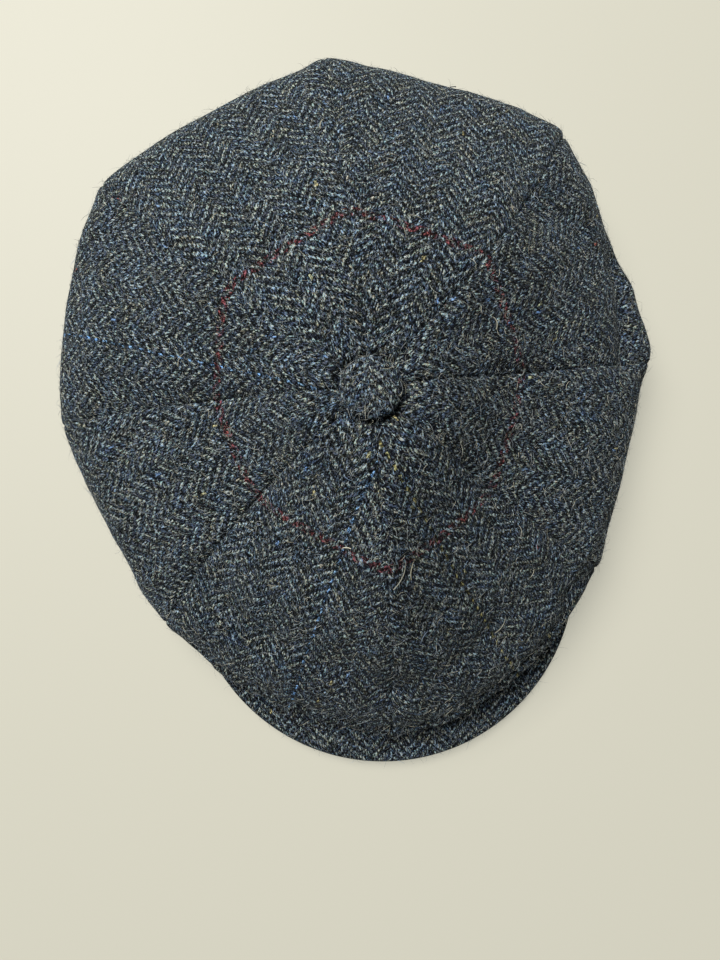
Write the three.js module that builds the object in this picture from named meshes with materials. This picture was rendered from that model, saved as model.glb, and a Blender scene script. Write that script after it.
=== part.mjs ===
// An eight-panel baker boy cap in herringbone tweed, lying on its head band with the peak
// towards -Y. Millimetres, +Z up. The origin is on the surface that the cap rests on, under
// the middle of its bounding box.
import * as THREE from 'three';

// Cloth walls and the clearance between neighbouring pieces
const CROWN_CLOTH = 2.0;
const BAND_CLOTH = 2.6;
const PEAK_BOARD = 4.4;
const GAP = 0.35;

// Head band: an upright oval ring that fits a 570 mm head
const BAND = { across: 84, along: 102, x: 1.5, y: -2.5, height: 26, segments: 56 };

// Crown: its seams start round a small hole under the button
const BUTTON = { x: 4.5, y: 7.5, radius: 11.5, rise: 5.8, foot: 9.66, up: 1.6, segments: 28 };
const BUTTON_DOME = { steps: 7, start: -30, sweep: 120, low: 0.3, high: 0.7, fullness: 0.7 };
const SHANK = { radius: 2.6, length: 7 };
const CROWN_TOP = 93;
const DIMPLE = 3.2;
const HOLE = 4.4;
const COLLAR_OUT = 13;
const RIM_OUT = 27;
const RING_REACH = 67;

// Each seam runs from the button over the half-way ring to the edge, then under to the band.
// turn: direction at the edge, ringTurn: direction at the ring, both from +X in degrees.
// ringUp, edgeUp, bellyUp: heights. reach: button axis to edge, in plan.
const SEAMS = [
  { name: 'right',       turn:   3.5, ringTurn:   3.5, ringUp: 65, reach: 128.5, edgeUp: 24, bellyUp: 10 },
  { name: 'right_back',  turn:  48.6, ringTurn:  44.0, ringUp: 81, reach: 149.5, edgeUp: 29, bellyUp: 11 },
  { name: 'back',        turn:  92.0, ringTurn:  91.3, ringUp: 85, reach: 156,   edgeUp: 32, bellyUp: 12 },
  { name: 'left_back',   turn: 135.3, ringTurn: 138.0, ringUp: 80, reach: 155.5, edgeUp: 30, bellyUp: 11 },
  { name: 'left',        turn: 178.4, ringTurn: 175.8, ringUp: 64, reach: 139,   edgeUp: 27, bellyUp: 10 },
  { name: 'left_front',  turn: 221.5, ringTurn: 216.3, ringUp: 62, reach: 135.5, edgeUp: 26, bellyUp: 10 },
  { name: 'front',       turn: 269.0, ringTurn: 270.3, ringUp: 84, reach: 151,   edgeUp: 19, bellyUp: 12 },
  { name: 'right_front', turn: 319.2, ringTurn: 317.3, ringUp: 64, reach: 128,   edgeUp: 25, bellyUp: 10 },
];

// Each panel lies between a seam and the next one. bulge: how far its edge swells past the
// straight line between the two seam corners. crest: where along that line it swells most.
const PANELS = [
  { name: 'crown_panel_1', bulge: 3.5, crest: 0.6 },
  { name: 'crown_panel_2', bulge: 5.5, crest: 0.28 },
  { name: 'crown_panel_3', bulge: 4.2, crest: 0.6 },
  { name: 'crown_panel_4', bulge: 6.6, crest: 0.5 },
  { name: 'crown_panel_5', bulge: 2.8, crest: 0.5 },
  { name: 'crown_panel_6', bulge: 9.5, crest: 0.5 },
  { name: 'crown_panel_7', bulge: 15,  crest: 0.45 },
  { name: 'crown_panel_8', bulge: 1,   crest: 0.25 },
];

// Stations down a seam. steps: rows of facets up to the next station. puff: swell of the
// middle of a panel off its seams. bulge and seat: shares of the edge's bulge and of the
// band's roundness that the panel follows there.
const STATIONS = [
  { name: 'hole',     steps: 1, puff: 0,   bulge: 0,    seat: 0 },
  { name: 'collar',   steps: 2, puff: 0.3, bulge: 0,    seat: 0 },
  { name: 'rim',      steps: 4, puff: 0.8, bulge: 0,    seat: 0 },
  { name: 'ring',     steps: 4, puff: 1.3, bulge: 0.1,  seat: 0 },
  { name: 'shoulder', steps: 2, puff: 1.2, bulge: 0.55, seat: 0 },
  { name: 'brow',     steps: 2, puff: 0.5, bulge: 0.9,  seat: 0 },
  { name: 'edge',     steps: 2, puff: 0,   bulge: 1,    seat: 0 },
  { name: 'belly',    steps: 2, puff: 0,   bulge: 0.9,  seat: 0.1 },
  { name: 'under',    steps: 2, puff: 0,   bulge: 0.4,  seat: 0.6 },
  { name: 'hem',      steps: 1, puff: 0,   bulge: 0,    seat: 1 },
  { name: 'band',     steps: 0, puff: 0,   bulge: 0,    seat: 1 },
];
const COLLAR_DIMPLE = 0.8;
const RIM_DROP = 0.15;
const SHOULDER = { out: 0.6, up: 0.42, roll: 5.5, turn: 0.6 };
const BROW = { in: 7, up: 11 };
const BELLY_IN = 13;
const HEM_OUT = 3;
const HEM_OVER = 1.8;
const PUFF_FULLNESS = 2.5;
const COLUMNS = [0, 0.03, 0.12, 0.24, 0.37, 0.5, 0.63, 0.76, 0.88, 0.97, 1];

// The seams are sunk: a narrow groove runs down each edge of a panel
const SEAM_GROOVE = { depth: 0.5, width: 2.4 };

// Creases and dents of the soft crown. Each runs between two places on a panel, given by the
// share of the way across it and by the station, counted from the hole. A swell has a depth
// below zero.
const FOLDS = [
  { name: 'right_crease',      panel: 0, from: [0.42, 5.2], to: [0.02, 4.6], depth: 4,    width: 6 },
  { name: 'right_flap',        panel: 0, from: [0.08, 5.8], to: [0.3, 5.9],  depth: -3.5, width: 10 },
  { name: 'right_back_dent',   panel: 0, from: [0.93, 3.7], to: [0.66, 4.3], depth: 2.5,  width: 9 },
  { name: 'left_front_dent',   panel: 5, from: [0.08, 4.0], to: [0.4, 4.2],  depth: 3,    width: 10 },
  { name: 'front_dent',        panel: 5, from: [0.6, 4.0],  to: [1, 4.3],    depth: 2.4,  width: 9 },
  { name: 'front_dent_right',  panel: 6, from: [0, 4.3],    to: [0.5, 4.15], depth: 2,    width: 9 },
  { name: 'right_front_tuck',  panel: 6, from: [0.84, 4.9], to: [0.96, 5.5], depth: 2.5,  width: 5 },
];
const FOLD_STEPS = 8;

// Peak: a crescent under the front of the crown, arched off the table
const PEAK = { x: 4.4, y: -68.5, radius: 94, sweep: 104, seat: 62, arch: 9, archPower: 1.2, droop: 0.6 };
const PEAK_CORNER = { taper: 0.76, tuck: 0.93, end: 0.98 };
const PEAK_ROWS = 28;
const PEAK_COLUMNS = [0, 0.2, 0.4, 0.6, 0.8, 0.93, 0.985, 1];
const PEAK_EDGE = { start: 0.93, round: 1.1 };

const TWEED = { color: 0x3c4348, roughness: 0.95, metalness: 0 };

const rad = THREE.MathUtils.degToRad;
const UP = new THREE.Vector3(0, 0, 1);

// A point of the band's oval, in the direction turn from its middle, pushed out by offset
function bandPoint(turn, offset, up) {
  const angle = Math.atan2(BAND.across * Math.sin(turn), BAND.along * Math.cos(turn));
  const point = new THREE.Vector3(BAND.across * Math.cos(angle), BAND.along * Math.sin(angle), 0);
  const normal = new THREE.Vector3(Math.cos(angle) / BAND.across, Math.sin(angle) / BAND.along, 0);
  point.addScaledVector(normal.normalize(), offset);
  return point.add(new THREE.Vector3(BAND.x, BAND.y, up));
}

// A point of the crown, out from the button's axis in the direction turn
function crownPoint(turn, out, up) {
  return new THREE.Vector3(BUTTON.x + out * Math.cos(turn), BUTTON.y + out * Math.sin(turn), up);
}

// The smooth line of one seam, with one point at each station
function seamCurve(seam) {
  const turn = rad(seam.turn);
  const ringTurn = rad(seam.ringTurn);
  const ringOut = Math.sqrt(RING_REACH ** 2 - (CROWN_TOP - seam.ringUp) ** 2);
  const shoulderOut = ringOut + SHOULDER.out * (seam.reach - ringOut);
  const shoulderUp = seam.edgeUp + SHOULDER.up * (seam.ringUp - seam.edgeUp) + SHOULDER.roll;
  const hemUp = BAND.height + GAP;
  const belly = crownPoint(turn, seam.reach - BELLY_IN, seam.bellyUp);
  const hem = bandPoint(turn, HEM_OUT, hemUp);
  const under = belly.clone().lerp(hem, 0.5);
  return new THREE.CatmullRomCurve3([
    crownPoint(ringTurn, HOLE, CROWN_TOP - DIMPLE),
    crownPoint(ringTurn, COLLAR_OUT, CROWN_TOP - COLLAR_DIMPLE * DIMPLE),
    crownPoint(ringTurn, RIM_OUT, CROWN_TOP - RIM_DROP * (CROWN_TOP - seam.ringUp)),
    crownPoint(ringTurn, ringOut, seam.ringUp),
    crownPoint(THREE.MathUtils.lerp(ringTurn, turn, SHOULDER.turn), shoulderOut, shoulderUp),
    crownPoint(turn, seam.reach - BROW.in, seam.edgeUp + BROW.up),
    crownPoint(turn, seam.reach, seam.edgeUp),
    belly,
    under,
    hem,
    bandPoint(turn, -HEM_OVER, hemUp),
  ]);
}

// Where a seam is at t, which way the cloth faces there and which way its neighbour lies
function seamFrame(curve, t) {
  const point = curve.getPoint(t);
  const along = curve.getTangent(t);
  const out = new THREE.Vector3(point.x - BUTTON.x, point.y - BUTTON.y, 0).normalize();
  const side = new THREE.Vector3().crossVectors(UP, out);
  const face = new THREE.Vector3().crossVectors(along, side).normalize();
  return { point, side, face };
}

// A value from a column of STATIONS at t
function stationValue(column, t) {
  const place = t * (STATIONS.length - 1);
  const below = Math.min(Math.floor(place), STATIONS.length - 2);
  const share = THREE.MathUtils.smoothstep(place - below, 0, 1);
  return THREE.MathUtils.lerp(STATIONS[below][column], STATIONS[below + 1][column], share);
}

// The rows of a panel: every station, and the steps between it and the next
function panelRows() {
  const rows = [];
  STATIONS.forEach((station, index) => {
    for (let step = 0; step < station.steps; step += 1) {
      rows.push((index + step / station.steps) / (STATIONS.length - 1));
    }
  });
  rows.push(1);
  return rows;
}

// A place on a panel of the crown before it is folded: the point and the way the cloth faces.
// t goes down the seams, share goes from one seam to the next.
function crownSpot(index, t, share) {
  const panel = PANELS[index];
  const { first, second } = panel.seams;
  const a = seamFrame(first.curve, t);
  const b = seamFrame(second.curve, t);
  a.point.addScaledVector(a.side, GAP / 2);
  b.point.addScaledVector(b.side, -GAP / 2);
  const width = a.point.distanceTo(b.point);
  const chord = new THREE.Vector3().subVectors(b.point, a.point).setZ(0).normalize();
  const away = new THREE.Vector3().crossVectors(chord, UP);
  const skewed = share ** (Math.log(0.5) / Math.log(panel.crest));
  const bulge = panel.bulge * stationValue('bulge', t) * 4 * skewed * (1 - skewed);
  const seat = panel.seat * stationValue('seat', t) * 4 * share * (1 - share);
  const puff = stationValue('puff', t) * (1 - Math.abs(2 * share - 1) ** PUFF_FULLNESS);
  const edge = Math.min(share, 1 - share) * width;
  const groove = SEAM_GROOVE.depth * Math.exp(-((edge / SEAM_GROOVE.width) ** 2));
  const face = a.face.lerp(b.face, share).normalize();
  const point = a.point.lerp(b.point, share);
  point.addScaledVector(away, bulge + seat);
  point.addScaledVector(face, puff - groove);
  return { point, face };
}

// The lines of the folds on the crown before it is folded
function foldLines() {
  return FOLDS.map((fold) => {
    const spots = [];
    for (let step = 0; step <= FOLD_STEPS; step += 1) {
      const share = THREE.MathUtils.lerp(fold.from[0], fold.to[0], step / FOLD_STEPS);
      const station = THREE.MathUtils.lerp(fold.from[1], fold.to[1], step / FOLD_STEPS);
      spots.push(crownSpot(fold.panel, station / (STATIONS.length - 1), share).point);
    }
    return { ...fold, spots };
  });
}

// How deep all the folds are at a point
function foldDepth(point, folds) {
  return folds.reduce((depth, fold) => {
    const closest = new THREE.Vector3();
    let distance = Infinity;
    for (let step = 0; step < FOLD_STEPS; step += 1) {
      new THREE.Line3(fold.spots[step], fold.spots[step + 1]).closestPointToPoint(point, true, closest);
      distance = Math.min(distance, closest.distanceTo(point));
    }
    return depth + fold.depth * Math.exp(-((distance / fold.width) ** 2));
  }, 0);
}

// A closed wall between an outer and an inner grid of points. A loop's last row meets its first.
function wallGeometry(outer, inner, loop = false) {
  const rows = outer.length;
  const columns = outer[0].length;
  const points = [...outer.flat(), ...inner.flat()];
  const index = [];
  const at = (side, row, column) => side * rows * columns + (row % rows) * columns + column;
  const quad = (a, b, c, d) => index.push(a, b, c, a, c, d);
  const spans = loop ? rows : rows - 1;
  for (let row = 0; row < spans; row += 1) {
    for (let column = 0; column < columns - 1; column += 1) {
      quad(at(0, row, column), at(0, row + 1, column), at(0, row + 1, column + 1), at(0, row, column + 1));
      quad(at(1, row, column), at(1, row, column + 1), at(1, row + 1, column + 1), at(1, row + 1, column));
    }
    quad(at(0, row, 0), at(1, row, 0), at(1, row + 1, 0), at(0, row + 1, 0));
    const last = columns - 1;
    quad(at(0, row, last), at(0, row + 1, last), at(1, row + 1, last), at(1, row, last));
  }
  if (!loop) {
    for (let column = 0; column < columns - 1; column += 1) {
      const last = rows - 1;
      quad(at(0, 0, column), at(0, 0, column + 1), at(1, 0, column + 1), at(1, 0, column));
      quad(at(0, last, column), at(1, last, column), at(1, last, column + 1), at(0, last, column + 1));
    }
  }
  const geometry = new THREE.BufferGeometry().setFromPoints(points);
  geometry.setIndex(index);
  geometry.computeVertexNormals();
  return geometry;
}

// How far the front of the band and of the peak is arched off the table, at a share of the
// way from the middle of the front to a corner of the peak
function archLift(share) {
  return Math.abs(share) < 1 ? PEAK.arch * Math.cos(share * Math.PI / 2) ** PEAK.archPower : 0;
}

// The two seams of each panel and how far the band swells past the straight line between them
function joinPanels() {
  PANELS.forEach((panel, index) => {
    const first = SEAMS[index];
    const second = { ...SEAMS[(index + 1) % SEAMS.length] };
    if (second.turn < first.turn) {
      second.turn += 360;
      second.ringTurn += 360;
    }
    const corner = bandPoint(rad(first.turn), 0, 0);
    const chord = bandPoint(rad(second.turn), 0, 0).sub(corner).normalize();
    const middle = bandPoint(rad((first.turn + second.turn) / 2), 0, 0).sub(corner);
    panel.seat = middle.dot(new THREE.Vector3().crossVectors(chord, UP));
    panel.seams = {
      first: { curve: seamCurve(first) },
      second: { curve: seamCurve(second) },
    };
  });
}

function crownPanel(index, folds) {
  const outer = [];
  const inner = [];
  for (const t of panelRows()) {
    const spots = COLUMNS.map((share) => crownSpot(index, t, share));
    for (const { point, face } of spots) {
      point.addScaledVector(face, -foldDepth(point, folds));
    }
    outer.push(spots.map(({ point }) => point));
    inner.push(spots.map(({ point, face }) => point.clone().addScaledVector(face, -CROWN_CLOTH)));
  }
  return wallGeometry(outer, inner);
}

function headBand() {
  const outer = [];
  const inner = [];
  for (let step = 0; step < BAND.segments; step += 1) {
    const turn = step / BAND.segments * 2 * Math.PI - Math.PI / 2;
    const angle = THREE.MathUtils.euclideanModulo(turn + Math.PI * 1.5, 2 * Math.PI) - Math.PI;
    const lift = archLift(angle / rad(PEAK.seat));
    const around = (offset, up) => bandPoint(turn, offset, up);
    outer.push([around(0, lift), around(0, BAND.height)]);
    inner.push([around(-BAND_CLOTH, lift), around(-BAND_CLOTH, BAND.height)]);
  }
  return wallGeometry(outer, inner, true);
}

// A point of the peak's underside: share goes from corner to corner, -1 to 1, and depth from
// the band, 0, to the rim, 1
function peakPoint(share, depth) {
  const seat = bandPoint(rad(share * PEAK.seat - 90), GAP, 0);
  const sweep = rad(share * PEAK.sweep);
  const rim = new THREE.Vector3(
    PEAK.x + PEAK.radius * Math.sin(sweep),
    PEAK.y - PEAK.radius * Math.cos(sweep),
    0,
  );
  const tuck = PEAK_CORNER.tuck * THREE.MathUtils.smoothstep(Math.abs(share), PEAK_CORNER.taper, 1);
  const point = seat.lerp(rim, depth * (1 - tuck));
  return point.setZ(archLift(share) * (1 - PEAK.droop * depth));
}

function peak() {
  const upper = [];
  const lower = [];
  for (let row = 0; row <= PEAK_ROWS; row += 1) {
    const share = (row / PEAK_ROWS * 2 - 1) * PEAK_CORNER.end;
    const round = (depth) => PEAK_EDGE.round * THREE.MathUtils.smoothstep(depth, PEAK_EDGE.start, 1);
    lower.push(PEAK_COLUMNS.map((depth) => peakPoint(share, depth).add(
      new THREE.Vector3(0, 0, round(depth)),
    )));
    upper.push(PEAK_COLUMNS.map((depth) => peakPoint(share, depth).add(
      new THREE.Vector3(0, 0, PEAK_BOARD - round(depth)),
    )));
  }
  return wallGeometry(lower, upper);
}

// The button: a shank on the axis and a full dome whose edge overhangs its foot
function button() {
  const bottom = CROWN_TOP - DIMPLE + BUTTON.up;
  const profile = [
    new THREE.Vector2(0, bottom - SHANK.length),
    new THREE.Vector2(SHANK.radius, bottom - SHANK.length),
    new THREE.Vector2(SHANK.radius, bottom),
    new THREE.Vector2(BUTTON.foot, bottom),
  ];
  for (let step = 0; step <= BUTTON_DOME.steps; step += 1) {
    const angle = rad(BUTTON_DOME.start + BUTTON_DOME.sweep * step / BUTTON_DOME.steps);
    const out = BUTTON.radius * Math.cos(angle) ** BUTTON_DOME.fullness;
    const lift = BUTTON.rise * (BUTTON_DOME.low + BUTTON_DOME.high * Math.sin(angle));
    profile.push(new THREE.Vector2(step === BUTTON_DOME.steps ? 0 : out, bottom + lift));
  }
  const geometry = new THREE.LatheGeometry(profile, BUTTON.segments);
  geometry.rotateX(Math.PI / 2);
  return geometry;
}

function piece(name, geometry) {
  const mesh = new THREE.Mesh(geometry, new THREE.MeshStandardMaterial(TWEED));
  mesh.name = name;
  return mesh;
}

joinPanels();
const folds = foldLines();
const cap = new THREE.Group();
PANELS.forEach((panel, index) => cap.add(piece(panel.name, crownPanel(index, folds))));
cap.add(piece('head_band', headBand()));
cap.add(piece('peak', peak()));
const buttonMesh = piece('button', button());
buttonMesh.position.set(BUTTON.x, BUTTON.y, 0);
cap.add(buttonMesh);

export default cap;
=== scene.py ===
"""An eight-panel baker boy cap in herringbone tweed, lying on a pale table and seen from above."""

import math
from collections import namedtuple

import bpy
import numpy as np
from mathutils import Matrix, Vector


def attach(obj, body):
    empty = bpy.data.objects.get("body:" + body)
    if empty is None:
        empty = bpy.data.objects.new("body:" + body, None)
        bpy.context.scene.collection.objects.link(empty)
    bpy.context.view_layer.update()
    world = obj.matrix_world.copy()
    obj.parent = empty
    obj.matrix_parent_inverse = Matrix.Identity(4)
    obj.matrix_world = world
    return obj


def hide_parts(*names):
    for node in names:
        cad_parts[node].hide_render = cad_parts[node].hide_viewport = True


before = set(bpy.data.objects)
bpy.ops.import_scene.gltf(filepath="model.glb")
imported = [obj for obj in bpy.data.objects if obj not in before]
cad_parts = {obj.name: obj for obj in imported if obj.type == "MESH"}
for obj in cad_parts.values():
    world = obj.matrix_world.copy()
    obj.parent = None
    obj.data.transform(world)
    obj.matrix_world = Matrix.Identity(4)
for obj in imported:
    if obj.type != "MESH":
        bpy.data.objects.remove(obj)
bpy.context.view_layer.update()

# All shapes are worked out in millimetres and written to their meshes in metres
MM = 0.001
UP = np.array([0.0, 0.0, 1.0])

# Cloth walls, and the gaps between them
CROWN_CLOTH = 2.0
BAND_CLOTH = 2.6
PEAK_BOARD = 4.4
GAP = 0.35
SEAM_GAP = 0.04
SHARP_EDGE = 50

# Head band: an oval ring, folded under at its lower edge and slightly wavy
BAND_ACROSS = 84
BAND_ALONG = 102
BAND_MIDDLE = (1.5, -2.5)
BAND_HEIGHT = 26
BAND_SEGMENTS = 280
BAND_ROWS = 16
BAND_FOLD = 1.3
BAND_WAVE = 0.25
BAND_WAVE_LENGTH = 26

# Crown
BUTTON_AXIS = np.array([4.5, 7.5, 0.0])
CROWN_TOP = 93
DIMPLE = 3.2
HOLE = 4.4
COLLAR_OUT = 13
RIM_OUT = 27
RING_REACH = 67
COLLAR_DIMPLE = 0.8
RIM_DROP = 0.15
SHOULDER_OUT = 0.6
SHOULDER_UP = 0.42
SHOULDER_ROLL = 5.5
SHOULDER_TURN = 0.6
PUFF_FULLNESS = 2.5
BROW_IN = 7
BROW_UP = 11
BELLY_IN = 13
HEM_OUT = 3
HEM_OVER = 1.8

Seam = namedtuple("Seam", "turn ring_turn ring_up reach edge_up belly_up")
SEAMS = (
    Seam(3.5, 3.5, 65, 128.5, 24, 10),
    Seam(48.6, 44.0, 81, 149.5, 29, 11),
    Seam(92.0, 91.3, 85, 156, 32, 12),
    Seam(135.3, 138.0, 80, 155.5, 30, 11),
    Seam(178.4, 175.8, 64, 139, 27, 10),
    Seam(221.5, 216.3, 62, 135.5, 26, 10),
    Seam(269.0, 270.3, 84, 151, 19, 12),
    Seam(319.2, 317.3, 64, 128, 25, 10),
)

# Each panel lies between a seam and the next one. columns: how far its herringbone columns are
# shifted off its middle, in threads. drift: how far the grain runs off it, in mm per mm.
Panel = namedtuple("Panel", "bulge crest columns drift")
PANELS = (
    Panel(3.5, 0.6, 10.3, -0.04),
    Panel(5.5, 0.28, 5.0, -0.02),
    Panel(4.2, 0.6, 2.5, 0.02),
    Panel(6.6, 0.5, 14.5, 0.06),
    Panel(2.8, 0.5, 7.3, 0),
    Panel(9.5, 0.5, 14.5, -0.02),
    Panel(15, 0.45, 7.9, 0.06),
    Panel(1, 0.25, 10.6, 0.06),
)

# Stations down a seam, with the rows of faces up to the next one
Station = namedtuple("Station", "name rows puff bulge seat")
STATIONS = (
    Station("hole", 10, 0, 0, 0),
    Station("collar", 12, 0.3, 0, 0),
    Station("rim", 16, 0.8, 0, 0),
    Station("ring", 16, 1.3, 0.1, 0),
    Station("shoulder", 16, 1.2, 0.55, 0),
    Station("brow", 16, 0.5, 0.9, 0),
    Station("edge", 12, 0, 1, 0),
    Station("belly", 8, 0, 0.9, 0.1),
    Station("under", 8, 0, 0.4, 0.6),
    Station("hem", 4, 0, 0, 1),
    Station("band", 0, 0, 0, 1),
)
RING = 3
HEM = 9
PANEL_COLUMNS = 62
EDGE_CROWDING = 0.8

# A wide groove down each seam, as in the solids, and the tight turn of the cloth into the seam
GROOVE_DEPTH = 0.5
GROOVE_WIDTH = 2.4
TURN_DEPTH = 0.65
TURN_WIDTH = 0.65
PUCKER_DEPTH = 0.22
PUCKER_LENGTH = 9.5
PUCKER_WIDTH = 5.0
PUCKER_DRIFT = 1.7
PUCKER_DRIFT_PACE = 0.31

# The crown is drawn down into a crease round the button and swells outside it
CREASE_DEPTH = 1.5
CREASE_OUT = 12.0
CREASE_WIDTH = 0.9
SWELL_HEIGHT = 1.0
SWELL_OUT = 15.5
SWELL_WIDTH = 2.6

# Folds run between two places on a panel, given by the share of the way across it and by the
# station. Swells have a depth below zero. The first seven are in the solids too.
Fold = namedtuple("Fold", "panel start end depth width")
FOLDS = (
    Fold(0, (0.42, 5.2), (0.02, 4.6), 4, 6),
    Fold(0, (0.08, 5.8), (0.3, 5.9), -3.5, 10),
    Fold(0, (0.93, 3.7), (0.66, 4.3), 2.5, 9),
    Fold(5, (0.08, 4.0), (0.4, 4.2), 3, 10),
    Fold(5, (0.6, 4.0), (1, 4.3), 2.4, 9),
    Fold(6, (0, 4.3), (0.5, 4.15), 2, 9),
    Fold(6, (0.84, 4.9), (0.96, 5.5), 2.5, 5),
)
FINE_FOLDS = (
    Fold(5, (0.14, 5.5), (1, 5.46), 1.6, 1.5),
    Fold(6, (0, 5.46), (0.86, 5.5), 1.6, 1.5),
    Fold(5, (0.26, 5.9), (1, 5.86), -1.4, 1.7),
    Fold(6, (0, 5.86), (0.74, 5.9), -1.4, 1.7),
    Fold(6, (0.7, 5.3), (0.97, 4.9), 1.0, 2.5),
    Fold(7, (0.02, 5.0), (0.2, 5.5), 0.8, 3),
    Fold(3, (0.2, 4.6), (0.7, 4.9), 0.8, 8),
    Fold(2, (0.3, 4.7), (0.8, 4.5), 0.7, 9),
    Fold(4, (0.5, 4.3), (0.9, 4.7), 0.9, 8),
    Fold(1, (0.3, 4.6), (0.6, 4.9), 0.7, 7),
)
FOLD_STEPS = 8

# Shallow ripples all over the crown: height and length in mm and seed. They fade in between two
# stations and within a distance of the seams.
RIPPLES = ((0.55, 34, 5), (0.3, 15, 9))
RIPPLE_START = (0.5, 2)
RIPPLE_MARGIN = 12
RIPPLE_WAVES = 7
RIPPLE_SPREAD = (0.7, 1.5)
RIPPLE_PEAK = 1.4

# Peak
PEAK_MIDDLE = (4.4, -68.5)
PEAK_RADIUS = 94
PEAK_SWEEP = 104
PEAK_SEAT = 62
PEAK_ARCH = 9
PEAK_ARCH_POWER = 1.2
PEAK_DROOP = 0.6
PEAK_TAPER = 0.76
PEAK_TUCK = 0.93
PEAK_ROWS = 150
PEAK_COLUMNS = 34
PEAK_CROWDING = 1.8
PEAK_ENDS = 0.98
PEAK_WAVE = 0.2
PEAK_WAVE_LENGTH = 22
PEAK_WAVE_START = 5
PEAK_RIM_LEAST = 0.01
PEAK_CLOTH_CORNER = (500.0, 500.0)

# Button
BUTTON_RADIUS = 11.5
BUTTON_RISE = 5.8
BUTTON_UP = 1.6
BUTTON_FOOT = 9.66
BUTTON_LOW = 0.3
BUTTON_HIGH = 0.7
BUTTON_FULLNESS = 0.7
BUTTON_START = -30
BUTTON_RINGS = 30
BUTTON_SEGMENTS = 112
BUTTON_SHANK = 2.6
BUTTON_SHANK_LENGTH = 7
BUTTON_PLEATS = 17
BUTTON_PLEAT_DEPTH = 0.02
BUTTON_PLEAT_DRIFT = 1.3
BUTTON_PLEAT_DRIFTS = 3
BUTTON_PLEAT_FADE = (0.9, 0.1)
BUTTON_CLOTH_MIDDLE = 300

# Weave: a 2/2 twill that turns back every eight warp threads
THREAD = 1.25
TURN_BACK = 8
REPEAT = 4
PANEL_THREADS = 2 * TURN_BACK * 10

# Nap: short loose fibres that stand off the cloth
PANEL_NAP = 3200
BAND_NAP = 1200
PEAK_NAP = 2000
BUTTON_NAP = 260
NAP_STEPS = 4
NAP_SIDES = 3
NAP_FLOOR = 0.1
NAP_ROOT = 0.1
NAP_RISE = (0.1, 0.8)
NAP_RISE_POWER = 1.5
NAP_SAG = 0.4
NAP_SHORTEST = 1.4
NAP_GROWTH = 5.2
NAP_GROWTH_POWER = 1.6
NAP_BEND = 2.0
NAP_STRAIGHT = 0.01
NAP_RADIUS = 0.036
NAP_THICKENING = 0.045
# An upright direction that no fibre has
NAP_UP = UP + (0.013, 0.021, 0)

# Stray hairs. heading and bend: degrees on the table. shade: the place on the wool's ramp.
Stray = namedtuple("Stray", "panel share station heading length bend shade")
STRAYS = (
    Stray(6, 0.10, 3.14, 35, 13, 60, 0.93),
    Stray(6, 0.17, 3.12, 120, 9, -70, 0.92),
    Stray(6, 0.57, 4.19, 40, 11, 50, 0.93),
    Stray(3, 0.66, 3.35, 75, 8, -60, 0.92),
    Stray(5, 0.70, 2.98, 150, 6, 80, 0.88),
    Stray(0, 0.49, 2.9, 60, 6, 90, 0.9),
    Stray(2, 0.07, 3.9, 100, 7, -50, 0.9),
    Stray(1, 0.46, 5.56, 20, 9, 70, 0.05),
)
STRAY_STEPS = 12
STRAY_RISE = 0.5
STRAY_LIFT = 0.3
STRAY_RADIUS = 0.22

# Table in mm, lights and camera in metres and degrees
TABLE_HALF = 2000
ROOM_LIGHT = 0.05
WINDOW_PLACE = (-0.75, 1.25, 2.15)
WINDOW_SIZE = 1.5
WINDOW_WATTS = 104
CEILING_PLACE = (0, 0.3, 2.4)
CEILING_SIZE = 3.0
CEILING_WATTS = 3
CAMERA_PLACE = (-0.0025, -0.0255, 0.355)
CAMERA_TURN = -5.3
SENSOR = 36
FOCAL_PIXELS = 721
PHOTO_HEIGHT = 960


def smooth_step(low, high, value):
    share = np.clip((value - low) / (high - low), 0, 1)
    return share * share * (3 - 2 * share)


def unit(vectors):
    return vectors / np.linalg.norm(vectors, axis=-1, keepdims=True)


def band_point(turn, offset, up):
    """A point of the band's oval in the direction turn from its middle, pushed out by offset."""
    turn, offset, up = np.broadcast_arrays(turn, offset, up)
    angle = np.arctan2(BAND_ACROSS * np.sin(turn), BAND_ALONG * np.cos(turn))
    flat = np.stack([BAND_ACROSS * np.cos(angle), BAND_ALONG * np.sin(angle)], -1)
    normal = unit(np.stack([np.cos(angle) / BAND_ACROSS, np.sin(angle) / BAND_ALONG], -1))
    flat = flat + normal * offset[..., None] + BAND_MIDDLE
    return np.concatenate([flat, up[..., None] * 1.0], -1)


def crown_point(turn, out, up):
    """A point of the crown, out from the button's axis in the direction turn."""
    return BUTTON_AXIS + (out * math.cos(turn), out * math.sin(turn), up)


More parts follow.
